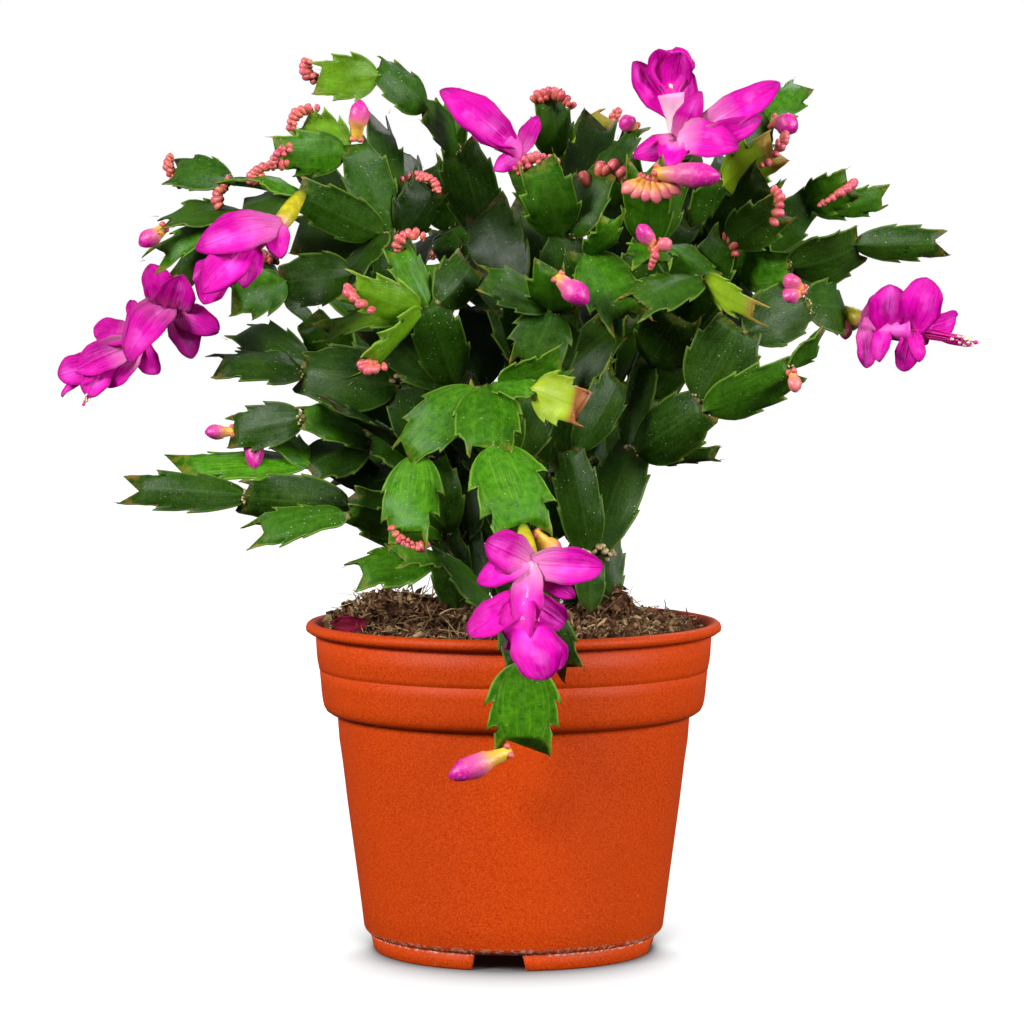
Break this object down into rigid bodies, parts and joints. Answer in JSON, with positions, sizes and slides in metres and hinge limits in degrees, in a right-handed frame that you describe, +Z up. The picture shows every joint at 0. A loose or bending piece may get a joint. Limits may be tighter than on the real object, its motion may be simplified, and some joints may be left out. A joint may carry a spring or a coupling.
{
  "type": "potted christmas cactus",
  "caption": "Christmas cactus in bloom: arching stems of flat toothed segments with magenta flowers and small buds, growing from peat in a round moulded plastic nursery pot.",
  "frame": {"origin": "on the surface the pot stands on, on the pot's own axis", "axes": "+Z up, front of the plant towards -Y, +X to the right as seen from the front"},
  "size_m": [0.2809, 0.1839, 0.2804],
  "materials": {
    "segment": "waxy plant skin, half gloss, dark green, lighter where young",
    "petal": "silky magenta petal, whitish towards the throat",
    "ovary": "waxy yellow-green plant skin",
    "bud": "waxy salmon-pink bud, half gloss",
    "soil": "loose moist peat with fibres",
    "pot": "moulded plastic, half gloss, finely mottled"
  },
  "bodies": {
    "root": {"bloom_far_left": "petal", "bloom_front": "petal", "bloom_left_upper": "petal", "bloom_right": "petal", "bloom_top_left": "petal", "bloom_top_right": "petal", "buds_arch": "bud", "buds_back_1": "bud", "buds_back_2": "bud", "buds_back_3": "bud", "buds_back_4": "bud", "buds_back_5": "bud", "buds_back_fan": "bud", "buds_back_magenta": "bud", "buds_centre_arc": "bud", "buds_centre_back": "bud", "buds_centre_large": "bud", "buds_centre_light": "bud", "buds_fan_end": "bud", "buds_fan_left": "bud", "buds_fan_olive": "bud", "buds_fan_row": "bud", "buds_fan_single": "bud", "buds_fan_tall": "bud", "buds_fan_top": "bud", "buds_fingers": "bud", "buds_front_row": "bud", "buds_front_single": "bud", "buds_inner_single": "bud", "buds_light_row": "bud", "buds_low_far": "bud", "buds_low_single": "bud", "buds_mid_low": "bud", "buds_mid_row": "bud", "buds_mid_top": "bud", "buds_right_arc": "bud", "buds_right_column": "bud", "buds_right_small": "bud", "buds_top_front": "bud", "buds_trail_single": "bud", "ovary_far_left": "ovary", "ovary_front": "ovary", "ovary_left_upper": "ovary", "ovary_right": "ovary", "ovary_top_left": "ovary", "ovary_top_right": "ovary", "pot": "pot", "soil": "soil", "stem_back_1": "segment", "stem_back_2": "segment", "stem_back_3": "segment", "stem_back_4": "segment", "stem_back_5": "segment", "stem_centre": "segment", "stem_front": "segment", "stem_front_trail": "segment", "stem_left": "segment", "stem_low": "segment", "stem_right": "segment", "stem_right_upper": "segment"}
  },
  "joints": []
}
